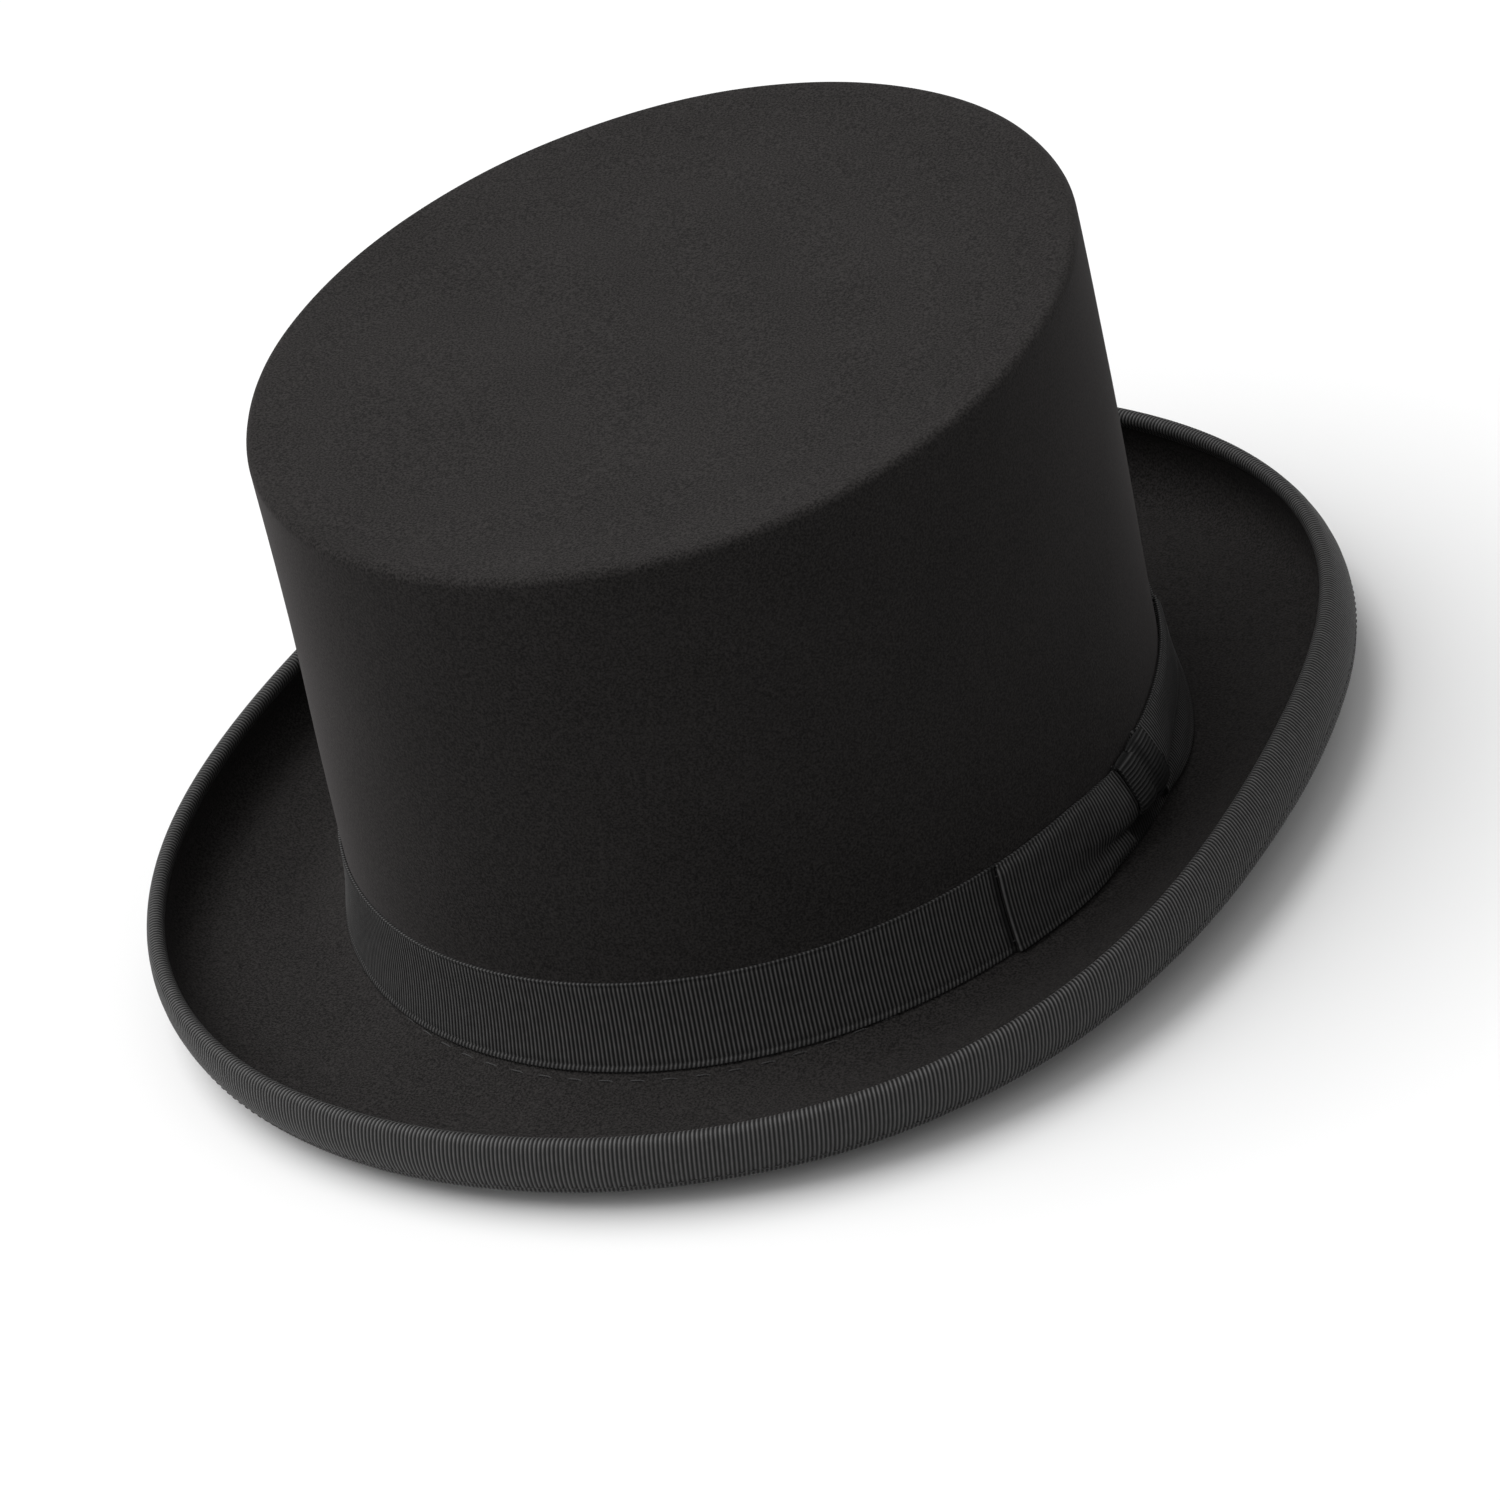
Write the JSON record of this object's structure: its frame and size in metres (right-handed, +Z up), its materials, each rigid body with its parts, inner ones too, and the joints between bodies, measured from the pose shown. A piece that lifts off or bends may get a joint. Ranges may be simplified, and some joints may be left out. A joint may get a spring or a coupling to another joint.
{
  "type": "top hat",
  "caption": "Stiff black felt top hat with a flat tip, curled bound brim, ribbed ribbon band and flat side bow, leather sweatband and satin lining.",
  "frame": {"origin": "on the ground under the middle of the head oval, with the hat standing on the front and back of its brim", "axes": "+Z up out of the flat tip, -Y to the front of the hat, +X to the wearer's left where the bow is"},
  "size_m": [0.2512, 0.3006, 0.1285],
  "materials": {
    "felt": "matte stiffened black felt",
    "ribbon": "black ribbed grosgrain with a soft sheen",
    "thread": "black sewing thread",
    "leather": "dark brown smooth leather",
    "bow_satin": "dark brown satin ribbon",
    "reed_plastic": "translucent white plastic reed",
    "reed_tape": "waxed cotton tape",
    "satin": "ivory lining satin"
  },
  "bodies": {
    "root": {"felt_body": "felt", "hat_band": "ribbon", "bow_ribbon": "ribbon", "bow_knot": "ribbon", "bow_tacks": "thread", "brim_binding": "ribbon", "binding_thread": "thread", "sweatband": "leather", "sweatband_thread": "thread", "sweatband_bow": "bow_satin", "reed": "reed_plastic", "reed_cover": "reed_tape", "lining_side": "satin", "lining_tip": "satin", "lining_piping": "satin"}
  },
  "joints": []
}
